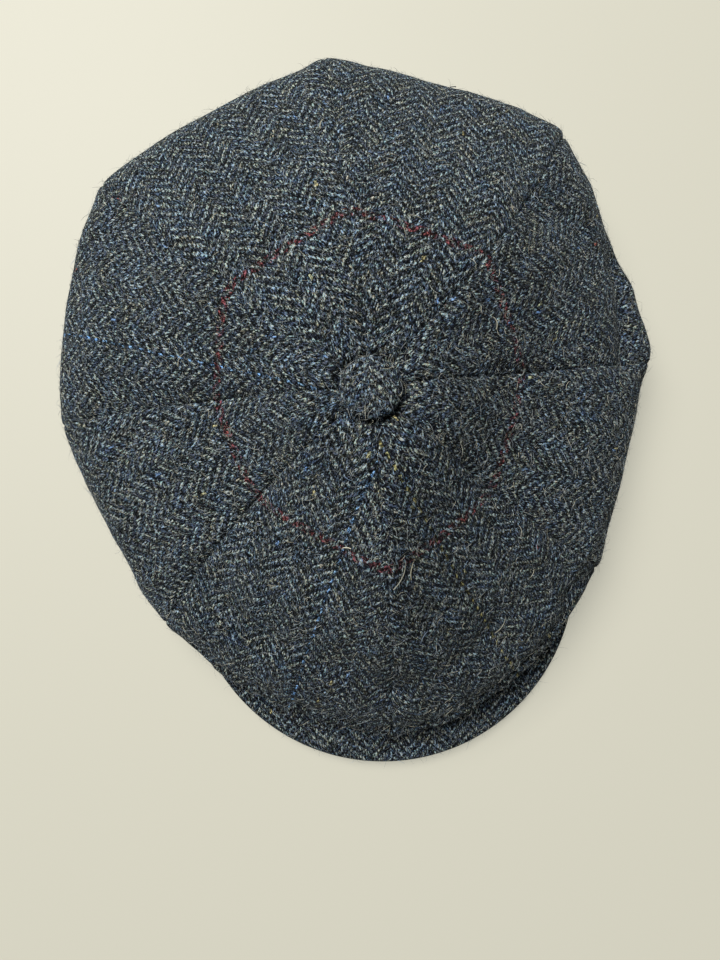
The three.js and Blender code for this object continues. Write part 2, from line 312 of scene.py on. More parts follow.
def seam_points(seam, turn_on=0.0):
    """The points of one seam, one at each station."""
    turn = math.radians(seam.turn + turn_on)
    ring_turn = math.radians(seam.ring_turn + turn_on)
    ring_out = math.sqrt(RING_REACH**2 - (CROWN_TOP - seam.ring_up) ** 2)
    shoulder_out = ring_out + SHOULDER_OUT * (seam.reach - ring_out)
    shoulder_up = seam.edge_up + SHOULDER_UP * (seam.ring_up - seam.edge_up) + SHOULDER_ROLL
    shoulder_turn = ring_turn + SHOULDER_TURN * (turn - ring_turn)
    hem_up = BAND_HEIGHT + GAP
    belly = crown_point(turn, seam.reach - BELLY_IN, seam.belly_up)
    hem = band_point(turn, HEM_OUT, hem_up)
    rim_up = CROWN_TOP - RIM_DROP * (CROWN_TOP - seam.ring_up)
    return np.array([
        crown_point(ring_turn, HOLE, CROWN_TOP - DIMPLE),
        crown_point(ring_turn, COLLAR_OUT, CROWN_TOP - COLLAR_DIMPLE * DIMPLE),
        crown_point(ring_turn, RIM_OUT, rim_up),
        crown_point(ring_turn, ring_out, seam.ring_up),
        crown_point(shoulder_turn, shoulder_out, shoulder_up),
        crown_point(turn, seam.reach - BROW_IN, seam.edge_up + BROW_UP),
        crown_point(turn, seam.reach, seam.edge_up),
        belly,
        (belly + hem) / 2,
        hem,
        band_point(turn, -HEM_OVER, hem_up),
    ])


def line_at(points, stations):
    """Places and slopes on a centripetal Catmull-Rom line that has a point at each station."""
    below = np.minimum(stations.astype(int), len(points) - 2)
    share = (stations - below)[:, None]
    first = 2 * points[0] - points[1]
    last = 2 * points[-1] - points[-2]
    padded = np.vstack([first, points, last])
    p0, p1, p2, p3 = (padded[below + step] for step in range(4))
    d0, d1, d2 = (
        np.sqrt(np.linalg.norm(end - start, axis=1, keepdims=True))
        for start, end in ((p0, p1), (p1, p2), (p2, p3))
    )
    t1 = ((p1 - p0) / d0 - (p2 - p0) / (d0 + d1) + (p2 - p1) / d1) * d1
    t2 = ((p2 - p1) / d1 - (p3 - p1) / (d1 + d2) + (p3 - p2) / d2) * d1
    square = -3 * p1 + 3 * p2 - 2 * t1 - t2
    cube = 2 * p1 - 2 * p2 + t1 + t2
    place = p1 + t1 * share + square * share**2 + cube * share**3
    slope = t1 + 2 * square * share + 3 * cube * share**2
    return place, slope


def seam_frame(points, stations):
    """Where a seam is, which way its neighbour lies and which way the cloth faces."""
    place, slope = line_at(points, stations)
    out = unit((place - BUTTON_AXIS) * (1, 1, 0))
    side = np.cross(UP, out)
    face = unit(np.cross(slope, side))
    return place, side, face


def station_value(column, stations):
    values = np.array([getattr(station, column) for station in STATIONS], float)
    below = np.minimum(stations.astype(int), len(STATIONS) - 2)
    share = smooth_step(0, 1, stations - below)
    return values[below] + (values[below + 1] - values[below]) * share


def panel_seams(index):
    """The points of a panel's two seams, and how far the band swells past their chord."""
    first = SEAMS[index]
    second = SEAMS[(index + 1) % len(SEAMS)]
    turn_on = 360 if second.turn < first.turn else 0
    turns = np.radians([first.turn, (first.turn + second.turn + turn_on) / 2, second.turn + turn_on])
    start, middle, end = band_point(turns, 0, 0)
    away = np.cross(unit(end - start), UP)
    return seam_points(first), seam_points(second, turn_on), (middle - start) @ away


def panel_spots(index, stations, shares, gap=GAP):
    """Places on a panel before it is folded, the way the cloth faces there, and the width of
    the panel at each station."""
    panel = PANELS[index]
    first, second, seat = panel_seams(index)
    place_a, side_a, face_a = seam_frame(first, stations)
    place_b, side_b, face_b = seam_frame(second, stations)
    place_a = place_a + side_a * gap / 2
    place_b = place_b - side_b * gap / 2
    chord = place_b - place_a
    width = np.linalg.norm(chord, axis=1)
    away = np.cross(unit(chord * (1, 1, 0)), UP)
    skewed = shares ** (math.log(0.5) / math.log(panel.crest))
    bulge = np.outer(panel.bulge * station_value("bulge", stations), 4 * skewed * (1 - skewed))
    seat = np.outer(seat * station_value("seat", stations), 4 * shares * (1 - shares))
    puff = np.outer(station_value("puff", stations), 1 - np.abs(2 * shares - 1) ** PUFF_FULLNESS)
    across = shares[None, :, None]
    face = unit(face_a[:, None] * (1 - across) + face_b[:, None] * across)
    place = place_a[:, None] * (1 - across) + place_b[:, None] * across
    place = place + away[:, None] * (bulge + seat)[..., None] + face * puff[..., None]
    return place, face, width


def fold_lines(folds):
    """Each fold with the places that its bottom runs through."""
    steps = np.arange(FOLD_STEPS + 1)
    lines = []
    for fold in folds:
        shares = np.linspace(fold.start[0], fold.end[0], len(steps))
        stations = np.linspace(fold.start[1], fold.end[1], len(steps))
        place, _, _ = panel_spots(fold.panel, stations, shares)
        lines.append((fold, place[steps, steps]))
    return lines


def fold_depth(place, lines):
    """How deep all the folds are at each place."""
    depth = np.zeros(place.shape[:-1])
    for fold, spots in lines:
        near = np.full(place.shape[:-1], np.inf)
        for start, end in zip(spots[:-1], spots[1:]):
            along = end - start
            share = np.clip((place - start) @ along / (along @ along), 0, 1)
            gap = np.linalg.norm(place - start - share[..., None] * along, axis=-1)
            near = np.minimum(near, gap)
        depth += fold.depth * np.exp(-((near / fold.width) ** 2))
    return depth


def ripple(place, length, seed):
    """Smooth random waves of about that length, from about -1 to 1."""
    draw = np.random.default_rng(seed)
    total = np.zeros(place.shape[:-1])
    for _ in range(RIPPLE_WAVES):
        heading = unit(draw.normal(size=3)) * 2 * math.pi / (length * draw.uniform(*RIPPLE_SPREAD))
        total += np.sin(place @ heading + draw.uniform(0, 2 * math.pi))
    return total / RIPPLE_WAVES**0.5 / RIPPLE_PEAK


def panel_rows():
    """The station of every row of a panel's points."""
    rows = [
        index + step / station.rows
        for index, station in enumerate(STATIONS)
        for step in range(station.rows)
    ]
    return np.array(rows + [len(STATIONS) - 1.0])


def lengths_along(place, axis):
    """Distance along a grid's rows or columns from its first point."""
    steps = np.linalg.norm(np.diff(place, axis=axis), axis=-1)
    start = np.zeros_like(np.take(steps, [0], axis=axis))
    return np.concatenate([start, np.cumsum(steps, axis=axis)], axis=axis)


def quads_of(rows, columns, loop):
    """Corners of a closed wall's quads as side, row and column. The last row of a loop is one
    past the rows and stands for the first."""
    spans = rows if loop else rows - 1
    last = columns - 1
    row, column = (grid.ravel() for grid in np.mgrid[0:spans, 0:last])
    edge = np.arange(spans)
    faces = [
        [(0, row, column), (0, row + 1, column), (0, row + 1, column + 1), (0, row, column + 1)],
        [(1, row, column), (1, row, column + 1), (1, row + 1, column + 1), (1, row + 1, column)],
        [(0, edge, 0), (1, edge, 0), (1, edge + 1, 0), (0, edge + 1, 0)],
        [(0, edge, last), (0, edge + 1, last), (1, edge + 1, last), (1, edge, last)],
    ]
    if not loop:
        end = rows - 1
        edge = np.arange(last)
        faces.append([(0, 0, edge), (0, 0, edge + 1), (1, 0, edge + 1), (1, 0, edge)])
        faces.append([(0, end, edge), (1, end, edge), (1, end, edge + 1), (0, end, edge + 1)])
    blocks = []
    for corners in faces:
        block = [np.stack(np.broadcast_arrays(*corner), -1) for corner in corners]
        blocks.append(np.stack(block, 1))
    return np.concatenate(blocks)


def new_object(name, points, faces, loop_cloth=None):
    """A smooth-shaded mesh object from points in mm. loop_cloth: cloth coordinates in mm of
    every face corner."""
    mesh = bpy.data.meshes.new(name)
    mesh.from_pydata((np.asarray(points) * MM).tolist(), [], faces)
    mesh.polygons.foreach_set("use_smooth", [True] * len(mesh.polygons))
    if loop_cloth is not None:
        layer = mesh.uv_layers.new(name="Cloth")
        layer.data.foreach_set("uv", np.asarray(loop_cloth, float).ravel())
    mesh.set_sharp_from_angle(angle=math.radians(SHARP_EDGE))
    made = bpy.data.objects.new(name, mesh)
    bpy.context.scene.collection.objects.link(made)
    return made


def wall_object(name, outer, inner, cloth, loop=False):
    """A closed wall between two grids of points. cloth: coordinates on the cloth at the outer
    grid's points, with one more row on a loop."""
    rows, columns = outer.shape[:2]
    corners = quads_of(rows, columns, loop)
    side, row, column = corners[..., 0], corners[..., 1], corners[..., 2]
    index = side * rows * columns + (row % rows) * columns + column
    points = np.concatenate([outer.reshape(-1, 3), inner.reshape(-1, 3)])
    return new_object(name, points, index.tolist(), cloth[row, column].reshape(-1, 2))


def grid_normals(place):
    """The normals of a grid of points, on the side that a wall's outer grid faces."""
    down = np.gradient(place, axis=0)
    across = np.gradient(place, axis=1)
    return unit(np.cross(down, across))


def seam_roll(width, shares, lengths, seed):
    """How far the cloth sinks beside a seam: a wide groove, the tight turn into the seam, and
    the puckers that its stitches draw."""
    edge = np.outer(width, np.minimum(shares, 1 - shares))
    groove = GROOVE_DEPTH * np.exp(-((edge / GROOVE_WIDTH) ** 2))
    turn = TURN_DEPTH * np.exp(-((edge / TURN_WIDTH) ** 2))
    beat = 2 * math.pi * lengths / PUCKER_LENGTH
    drift = PUCKER_DRIFT * np.sin(beat * PUCKER_DRIFT_PACE + seed)
    pucker = np.sin(beat + drift + seed)
    pucker = PUCKER_DEPTH * pucker[:, None] * np.exp(-((edge / PUCKER_WIDTH) ** 2))
    return groove + turn + pucker


def button_crease(place):
    """How far the crown sinks at the button and, below zero, swells round it."""
    out = np.linalg.norm((place - BUTTON_AXIS)[..., :2], axis=-1)
    crease = CREASE_DEPTH * np.exp(-(((out - CREASE_OUT) / CREASE_WIDTH) ** 2))
    return crease - SWELL_HEIGHT * np.exp(-(((out - SWELL_OUT) / SWELL_WIDTH) ** 2))


def crowded_shares():
    """Shares across a panel, from 0 to 1, closer together near its seams."""
    even = np.linspace(0, 1, PANEL_COLUMNS + 1)
    shares = even - EDGE_CROWDING * np.sin(2 * math.pi * even) / (2 * math.pi)
    shares[0], shares[-1] = 0, 1
    return shares


def panel_cloth(index, place, stations):
    """Cloth coordinates of a panel's places, its size across and down the middle, and how far
    down its rows are."""
    middle = PANEL_COLUMNS // 2
    across = lengths_along(place, 1)
    across = across - across[:, [middle]]
    down = lengths_along(place, 0)[:, middle]
    ring = np.interp(RING, stations, down)
    panel = PANELS[index]
    threads_over = panel.columns + PANEL_THREADS * (index + 1)
    along = np.broadcast_to((down - ring)[:, None], across.shape)
    cloth = np.stack([across - panel.drift * along + threads_over * THREAD, along], -1)
    return cloth, (float(np.ptp(across) * MM), float(down[-1] * MM)), down


def crown_ripples(place, stations, shares, width):
    soft = smooth_step(*RIPPLE_START, stations)[:, None]
    soft = soft * smooth_step(0, RIPPLE_MARGIN, width[:, None] * shares)
    soft = soft * smooth_step(0, RIPPLE_MARGIN, width[:, None] * (1 - shares))
    soft = soft * (stations < HEM)[:, None]
    return soft * sum(height * ripple(place, length, seed) for height, length, seed in RIPPLES)


def crown_panel(index, lines, material):
    name = f"crown_panel_{index + 1}"
    stations = panel_rows()
    shares = crowded_shares()
    place, face, width = panel_spots(index, stations, shares, SEAM_GAP)
    cloth, flat, down = panel_cloth(index, place, stations)
    depth = seam_roll(width, shares, down, index) + fold_depth(place, lines) + button_crease(place)
    depth = depth - crown_ripples(place, stations, shares, width)
    outer = place - face * depth[..., None]
    inner = outer - face * CROWN_CLOTH
    cap_panel = wall_object(name + "_cloth", outer, inner, cloth)
    finish_piece(cap_panel, name, material)
    nap = nap_object(name + "_nap", outer, PANEL_NAP, 20 + index)
    return outer, stations, shares


def finish_piece(made, node, material):
    made.data.materials.append(material)
    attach(made, "root")
    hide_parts(node)


def arch_lift(share):
    """How far the front of the band and of the peak is arched off the table."""
    inside = np.clip(np.abs(share), 0, 1)
    return PEAK_ARCH * np.maximum(np.cos(inside * math.pi / 2), 0) ** PEAK_ARCH_POWER * (inside < 1)


def head_band(material):
    turn = np.linspace(0, 2 * math.pi, BAND_SEGMENTS, endpoint=False) - math.pi / 2
    angle = (turn + math.pi * 1.5) % (2 * math.pi) - math.pi
    lift = arch_lift(angle / math.radians(PEAK_SEAT))[:, None]
    share = np.linspace(0, 1, BAND_ROWS + 1)
    up = lift + (BAND_HEIGHT - lift) * share
    to_fold = np.clip(1 - (up - lift) / BAND_FOLD, 0, 1)
    round_in = BAND_FOLD * (1 - np.sqrt(1 - to_fold**2))
    outer = band_point(turn[:, None], -round_in, up)
    inner = band_point(turn[:, None], -BAND_CLOTH + round_in, up)
    wave = BAND_WAVE * ripple(outer, BAND_WAVE_LENGTH, 31) * np.sin(share * math.pi)
    outer = outer + grid_normals(outer) * wave[..., None]
    girth = lengths_along(np.vstack([outer[:, 0], outer[:1, 0]]), 0)
    cloth = np.stack(np.broadcast_arrays(girth[:, None], np.vstack([up, up[:1]])), -1)
    band = wall_object("head_band_cloth", outer, inner, cloth, loop=True)
    finish_piece(band, "head_band", material)
    nap = nap_object("head_band_nap", outer, BAND_NAP, 41)


def peak_point(share, depth):
    """A point of the peak's underside: share goes from corner to corner, -1 to 1, and depth
    from the band, 0, to the rim, 1."""
    share, depth = np.broadcast_arrays(share, depth)
    seat = band_point(np.radians(share * PEAK_SEAT - 90), GAP, 0)
    sweep = np.radians(share * PEAK_SWEEP)
    rim = np.stack([
        PEAK_MIDDLE[0] + PEAK_RADIUS * np.sin(sweep),
        PEAK_MIDDLE[1] - PEAK_RADIUS * np.cos(sweep),
        np.zeros_like(sweep),
    ], -1)
    reach = 1 - PEAK_TUCK * smooth_step(PEAK_TAPER, 1, np.abs(share))
    point = seat + (rim - seat) * (depth * reach)[..., None]
    point[..., 2] = arch_lift(share) * (1 - PEAK_DROOP * depth)
    return point


def peak(material):
    share = (np.linspace(-1, 1, PEAK_ROWS + 1) * PEAK_ENDS)[:, None]
    depth = 1 - (1 - np.linspace(0, 1, PEAK_COLUMNS + 1)) ** PEAK_CROWDING
    under = peak_point(share, depth)
    length = lengths_along(under, 1)
    to_rim = length[:, [-1]] - length
    half = PEAK_BOARD / 2
    near_rim = np.clip(1 - to_rim / half, 0, 1)
    rounded = half * (1 - np.sqrt(np.clip(1 - near_rim**2, PEAK_RIM_LEAST, 1)))
    swell = PEAK_WAVE * ripple(under, PEAK_WAVE_LENGTH, 77) * smooth_step(0, PEAK_WAVE_START, to_rim)
    lower = under + UP * rounded[..., None]
    upper = under + UP * (PEAK_BOARD - rounded + swell)[..., None]

    # The cloth runs on round the rim
    turned = np.arcsin(near_rim)
    outward = unit(under[:, [-1], :2] - under[:, [0], :2])
    over_edge = half * (turned - np.sin(turned))
    cloth = under[..., :2] + outward * over_edge[..., None] + PEAK_CLOTH_CORNER
    made = wall_object("peak_cloth", lower, upper, cloth)
    finish_piece(made, "peak", material)
    nap_object("peak_nap", upper[:, ::-1], PEAK_NAP, 53)


def button_profile():
    """The radius and height of the shank and the dome, from the foot of the shank to the top."""
    bottom = CROWN_TOP - DIMPLE + BUTTON_UP
    dome = np.radians(np.linspace(BUTTON_START, 90, BUTTON_RINGS))
    dome_radius = BUTTON_RADIUS * np.cos(dome) ** BUTTON_FULLNESS
    dome_radius[-1] = 0
    dome_height = bottom + BUTTON_RISE * (BUTTON_LOW + BUTTON_HIGH * np.sin(dome))
    foot = bottom - BUTTON_SHANK_LENGTH
    radius = np.concatenate([[0, BUTTON_SHANK, BUTTON_SHANK, BUTTON_FOOT], dome_radius])
    height = np.concatenate([[foot, foot, bottom, bottom], dome_height])
    low = smooth_step(*BUTTON_PLEAT_FADE, (height - bottom) / BUTTON_RISE) * (radius > BUTTON_SHANK)
    return radius, height, low


def button(material):
    radius, height, low = button_profile()
    turn = np.linspace(0, 2 * math.pi, BUTTON_SEGMENTS, endpoint=False)
    drift = BUTTON_PLEAT_DRIFT * np.sin(turn * BUTTON_PLEAT_DRIFTS)
    pleat = np.sin(turn * BUTTON_PLEATS + drift)
    out = radius * (1 + BUTTON_PLEAT_DEPTH * np.outer(pleat, low))
    points = np.stack([
        out * np.cos(turn)[:, None],
        out * np.sin(turn)[:, None],
        np.broadcast_to(height, out.shape),
    ], -1)
    points = points + BUTTON_AXIS
    spread = lengths_along(points, 1)
    from_top = spread[:, [-1]] - spread
    cloth = np.stack([from_top * np.cos(turn)[:, None], from_top * np.sin(turn)[:, None]], -1)
    made = lathe_object("button_cloth", points, cloth + BUTTON_CLOTH_MIDDLE)
    finish_piece(made, "button", material)
    nap_object("button_nap", points[:, 4:-1], BUTTON_NAP, 67)


def lathe_object(name, points, cloth):
    """A closed turned body from a grid of points whose first and last columns are on its axis."""
    segments, columns = points.shape[:2]
    ring = points[:, 1:-1].reshape(-1, 3)
    inner = columns - 2
    everything = np.vstack([ring, points[0, 0], points[0, -1]])
    pole = len(ring)
    faces = []
    corners = []
    for segment in range(segments):
        follower = (segment + 1) % segments
        for column in range(inner - 1):
            faces.append([
                segment * inner + column,
                follower * inner + column,
                follower * inner + column + 1,
                segment * inner + column + 1,
            ])
            corners += [
                (segment, column + 1), (follower, column + 1),
                (follower, column + 2), (segment, column + 2),
            ]
        faces.append([pole, follower * inner, segment * inner])
        corners += [(segment, 0), (follower, 1), (segment, 1)]
        faces.append([segment * inner + inner - 1, follower * inner + inner - 1, pole + 1])
        corners += [(segment, columns - 2), (follower, columns - 2), (segment, columns - 1)]
    index = np.array(corners)
    return new_object(name, everything, faces, cloth[index[:, 0], index[:, 1]])


def arc_along(bend):
    """How far forward and sideways an arc of length 1 has gone at each step, as it turns by
    bend radians."""
    at = np.linspace(0, 1, NAP_STEPS + 1)[None, :, None]
    turn = bend[:, None] * at
    curved = np.abs(turn) > NAP_STRAIGHT
    divisor = np.where(turn == 0, 1, bend[:, None])
    forward = np.where(curved, np.sin(turn) / divisor, at)
    sideways = np.where(curved, (1 - np.cos(turn)) / divisor, 0)
    return at, forward, sideways


def nap_object(name, surface, count, seed):
    """Loose fibres on a grid of points: thin curved hairs rooted at random places."""
    draw = np.random.default_rng(seed)
    down = np.diff(surface, axis=0)[:, :-1]
    across = np.diff(surface, axis=1)[:-1]
    area = np.linalg.norm(np.cross(down, across), axis=-1)
    cells = draw.choice(area.size, count, p=(area / area.sum()).ravel())
    row, column = np.unravel_index(cells, area.shape)
    share = draw.random((2, count, 1))
    root = surface[row, column] + down[row, column] * share[0] + across[row, column] * share[1]
    normal = unit(np.cross(down[row, column], across[row, column]))
    heading = draw.normal(size=(count, 3))
    flat = unit(heading - normal * (heading * normal).sum(1, keepdims=True))
    aside = np.cross(normal, flat)
    rise = draw.uniform(*NAP_RISE, (count, 1)) ** NAP_RISE_POWER
    length = NAP_SHORTEST + NAP_GROWTH * draw.random((count, 1)) ** NAP_GROWTH_POWER
    bend = draw.normal(0, NAP_BEND, (count, 1))
    at, forward, sideways = arc_along(bend)
    lift = rise[:, None] * (at - NAP_SAG * at**2)
    path = flat[:, None] * forward + aside[:, None] * sideways + normal[:, None] * lift
    path = (root - normal * NAP_ROOT)[:, None] + path * length[:, None]
    path[..., 2] = np.maximum(path[..., 2], NAP_FLOOR)
    radius = NAP_RADIUS + NAP_THICKENING * draw.random((count, 1)) ** 2
    return hairs_object(name, path, radius, draw.random((count, 2)))


def loose_fibres(surfaces):
    """The long stray hairs that lie on the crown."""
    at = np.linspace(0, 1, STRAY_STEPS + 1)
    paths = []
    for stray in STRAYS:
        outer, stations, shares = surfaces[stray.panel]
        row = int(np.abs(stations - stray.station).argmin())
        column = int(np.abs(shares - stray.share).argmin())
        facing = grid_normals(outer)[row, column]
        turn = np.radians(stray.heading + stray.bend * at)
        steps = np.stack([np.cos(turn), np.sin(turn), np.zeros_like(turn)], -1)
        steps = steps - np.outer(steps @ facing, facing)
        path = np.cumsum(steps, 0) * stray.length / STRAY_STEPS
        arch = STRAY_RISE * np.sin(at * math.pi) + STRAY_LIFT
        paths.append(outer[row, column] + path - path[STRAY_STEPS // 2] + np.outer(arch, facing))
    radius = np.full((len(paths), 1), STRAY_RADIUS)
    shades = np.array([(stray.shade, 0.5) for stray in STRAYS])
    hairs_object("loose_fibres", np.array(paths), radius, shades)


def hair_faces(steps):
    """The faces of one hair: sides, a pointed tip and a flat root."""
    faces = []
    for step in range(steps - 2):
        low = step * NAP_SIDES
        high = low + NAP_SIDES
        for turn in range(NAP_SIDES):
            onward = (turn + 1) % NAP_SIDES
            faces.append([low + turn, low + onward, high + onward, high + turn])
    tip = (steps - 1) * NAP_SIDES
    last = tip - NAP_SIDES
    for turn in range(NAP_SIDES):
        faces.append([last + turn, last + (turn + 1) % NAP_SIDES, tip])
    faces.append(list(range(NAP_SIDES))[::-1])
    return faces


def hairs_object(name, path, radius, shades):
    """Pointed hairs along their paths. shades: two numbers for each hair, the first its place on
    the wool's ramp."""
    count, steps = path.shape[:2]
    along = unit(np.gradient(path, axis=1))
    side = unit(np.cross(along, NAP_UP))
    over = np.cross(side, along)
    taper = radius[:, None] * (1 - np.linspace(0, 1, steps) ** 3)[None, :, None]
    rings = []
    for turn in range(NAP_SIDES):
        angle = 2 * math.pi * turn / NAP_SIDES
        rings.append(path + taper * (side * math.cos(angle) + over * math.sin(angle)))
    body = np.stack(rings, 2)[:, :-1].reshape(count, -1, 3)
    points = np.concatenate([body, path[:, -1:]], 1)
    faces = hair_faces(steps)
    per_hair = points.shape[1]
    all_faces = [
        [hair * per_hair + corner for corner in face]
        for hair in range(count)
        for face in faces
    ]
    corners = sum(len(face) for face in faces)
    made = new_object(name, points.reshape(-1, 3), all_faces, np.repeat(shades, corners, 0))
    made.data.materials.append(nap_material())
    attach(made, "root")
    return made


class Wires:
    """Builds the nodes of one material."""

    def __init__(self, name):
        self.material = bpy.data.materials.new(name)
        self.material.use_nodes = True
        self.tree = self.material.node_tree
        self.shader = self.tree.nodes["Principled BSDF"]

    def node(self, kind, **settings):
        made = self.tree.nodes.new(kind)
        for name, value in settings.items():
            setattr(made, name, value)
        return made

    def plug(self, value, socket):
        """A socket takes another node's output, or a plain value."""
        if isinstance(value, bpy.types.NodeSocket):
            self.tree.links.new(value, socket)
        else:
            socket.default_value = value

    def math(self, operation, *values):
        made = self.node("ShaderNodeMath", operation=operation)
        for value, socket in zip(values, made.inputs):
            self.plug(value, socket)
        return made.outputs[0]

    def split(self, vector):
        made = self.node("ShaderNodeSeparateXYZ")
        self.plug(vector, made.inputs[0])
        return made.outputs

    def join(self, x, y, z=0.0):
        made = self.node("ShaderNodeCombineXYZ")
        for value, socket in zip((x, y, z), made.inputs):
            self.plug(value, socket)
        return made.outputs[0]

    def uv(self, name):
        return self.node("ShaderNodeUVMap", uv_map=name).outputs[0]

    def noise(self, vector, scale, detail=2.0, roughness=0.5):
        made = self.node("ShaderNodeTexNoise", noise_dimensions="3D")
        self.plug(vector, made.inputs["Vector"])
        made.inputs["Scale"].default_value = scale
        made.inputs["Detail"].default_value = detail
        made.inputs["Roughness"].default_value = roughness
        return made.outputs[0]

    def random(self, vector):
        made = self.node("ShaderNodeTexWhiteNoise", noise_dimensions="3D")
        self.plug(vector, made.inputs["Vector"])
        return made.outputs["Color"]

    def ramp(self, value, stops, interpolation="LINEAR"):
        made = self.node("ShaderNodeValToRGB")
        made.color_ramp.interpolation = interpolation
        elements = made.color_ramp.elements
        while len(elements) < len(stops):
            elements.new(0.5)
        for element, (place, colour) in zip(elements, stops):
            element.position = place
            element.color = (*colour, 1)
        self.plug(value, made.inputs[0])
        return made.outputs[0]

    def mix(self, share, first, second, blend="MIX"):
        made = self.node("ShaderNodeMix", data_type="RGBA", blend_type=blend)
        self.plug(share, made.inputs[0])
        for value, socket in ((first, made.inputs[6]), (second, made.inputs[7])):
            self.plug((*value, 1) if isinstance(value, tuple) else value, socket)
        return made.outputs[2]

    def range(self, value, low, high, to_low=0.0, to_high=1.0, smooth=False):
        kind = "SMOOTHSTEP" if smooth else "LINEAR"
        made = self.node("ShaderNodeMapRange", interpolation_type=kind)
        for number, socket in zip((value, low, high, to_low, to_high), made.inputs):
            self.plug(number, socket)
        return made.outputs[0]

    def bump(self, height, depth):
        made = self.node("ShaderNodeBump")
        made.inputs["Strength"].default_value = 1.0
        made.inputs["Distance"].default_value = depth
        self.plug(height, made.inputs["Height"])
        return made.outputs[0]


# Wool shades of single floats. Each place is the share of floats that come before the shade.
WARP_SHADES = (
    (0.0, (0.080, 0.104, 0.116)),
    (0.22, (0.066, 0.098, 0.142)),
    (0.38, (0.120, 0.122, 0.094)),
    (0.54, (0.062, 0.108, 0.112)),
    (0.70, (0.116, 0.138, 0.152)),
    (0.84, (0.100, 0.112, 0.076)),
    (0.94, (0.126, 0.100, 0.092)),
)
WEFT_SHADES = (
    (0.0, (0.022, 0.030, 0.046)),
    (0.40, (0.028, 0.034, 0.038)),
    (0.60, (0.018, 0.034, 0.042)),
    (0.78, (0.030, 0.044, 0.072)),
    (0.92, (0.040, 0.032, 0.030)),
)
FLECKS = (
    (0.0, (0.15, 0.15, 0.13)),
    (0.3, (0.06, 0.10, 0.17)),
    (0.7, (0.13, 0.124, 0.07)),
    (0.94, (0.10, 0.032, 0.028)),
)
PATCH_TINTS = (
    (0.34, (0.86, 0.99, 1.16)),
    (0.5, (1.0, 1.0, 1.0)),
    (0.66, (1.10, 1.01, 0.86)),
)
RED = (0.088, 0.022, 0.023)
BLUE = (0.075, 0.145, 0.25)
OLIVE = (0.125, 0.12, 0.055)

# Warp threads of another colour, by their number on the crown
WARP_LINES = ((661, BLUE), (983, BLUE), (1124, OLIVE))

# The red overcheck: the weft in its middle, its reach to either side in threads, how far over
# the weft it shows, and the chance that hides some of it
RED_WEFT = 1.0
RED_REACH = 1.2
RED_SHOWS = (0.9, 0.3)
RED_CHANCE = (0.42, 0.54, 0.05, 0.85)

# How the threads lie. Columns that slant the other way start at another place in the twill.
ODD_WARP_START = 9.0
ODD_WEFT_START = 10.0
WARP_CREST = 1.0
WEFT_CREST = 3.0
TWILL_LINE = 1.5
LEAN = 0.15
RISE_SHARE = 0.62
BACK_SHARE = 0.38
LIFT_CHANCE = 0.5
FLOAT_EDGE = 0.22
EDGE_CHANCE = 0.9
FUZZ_RELIEF = 1.2
FIBRE_RELIEF = 0.5
RELIEF_DEPTH = 0.00036

# Uneven spacing of the threads: waves per mm and size in mm. The wefts have waves of their own.
SLOW_WANDER = (0.08, 1.6)
QUICK_WANDER = (0.6, 1.5)
WEFT_WAVES = 7.0

# Grain of the noises per mm: across and along the floats, or one number for all ways
TUFT_GRAIN = (0.85, 0.45)
FIBRE_GRAIN = (1.8, 0.65)
STRAND_GRAIN = (0.9, 0.5)
CURL_GRAIN = 0.7
PATCH_GRAIN = 0.035
TINT_GRAIN = 0.13
RED_GRAIN = 0.33
EDGE_GRAIN = 1.6
TUFT_ALONG = 0.97
TUFT_ASIDE = 0.25

# Chance in the shades: how far a tuft shifts them, and the draw from which a float is a fleck
SHADE_SHIFT = 3.0
FLECK_FROM = 0.993

# Brightness in doublings, and its limit. The grain's fine lines and the painted shade in the hollows
# between threads are given by two values and the doublings at each.
FLOAT_CONTRAST = 1.8
TUFT_CONTRAST = 10.0
FIBRE_CONTRAST = 23.0
PATCH_CONTRAST = 0.8
STRAND_LINES = (0.0, 0.06, 1.5, -1.15)
CURL_LINES = (0.0, 0.05, 1.6, -0.9)
HOLLOW_SHADE = (0.1, 0.9, -1.6, 0.3)
BRIGHTEST = 4.0
FIBRE_ROUGHNESS = (0.3, 0.7, 0.98, 0.82)

Weave = namedtuple("Weave", "across along slant warp weft above over height warp_draw weft_draw")


def tweed(name, warp_lines=(), ring=False, seed=0.0, light=0.77):
    """Woollen 2/2 herringbone. Its cloth map is in millimetres: across the warp, then along it.
    warp_lines: warp threads of another colour. ring: has the red overcheck thread."""
    wires = Wires(name)
    m = wires.math
    cloth = wires.uv("Cloth")
    weave = herringbone(wires, cloth, seed)
    tuft = tufts(wires, weave, TUFT_GRAIN, seed)
    fibre = tufts(wires, weave, FIBRE_GRAIN, seed + 3)
    shade = wires.node("ShaderNodeVectorMath", operation="SCALE")
    wires.plug(wool_colour(wires, cloth, weave, tuft, warp_lines, ring), shade.inputs[0])
    wires.plug(wool_tone(wires, cloth, weave, tuft, fibre, seed, light), shade.inputs["Scale"])
    fuzz = m("ADD", tuft, m("MULTIPLY", fibre, FIBRE_RELIEF))
    relief = m("ADD", weave.height, m("MULTIPLY", fuzz, FUZZ_RELIEF))
    wires.plug(shade.outputs[0], wires.shader.inputs["Base Color"])
    wires.plug(wires.range(fibre, *FIBRE_ROUGHNESS), wires.shader.inputs["Roughness"])
    wires.plug(wires.bump(relief, RELIEF_DEPTH), wires.shader.inputs["Normal"])
    wires.shader.inputs["Specular IOR Level"].default_value = 0.08
    wires.shader.inputs["Sheen Weight"].default_value = 0.04
    wires.shader.inputs["Sheen Roughness"].default_value = 0.5
    wires.shader.inputs["Sheen Tint"].default_value = (0.72, 0.82, 0.92, 1)
    return wires.material


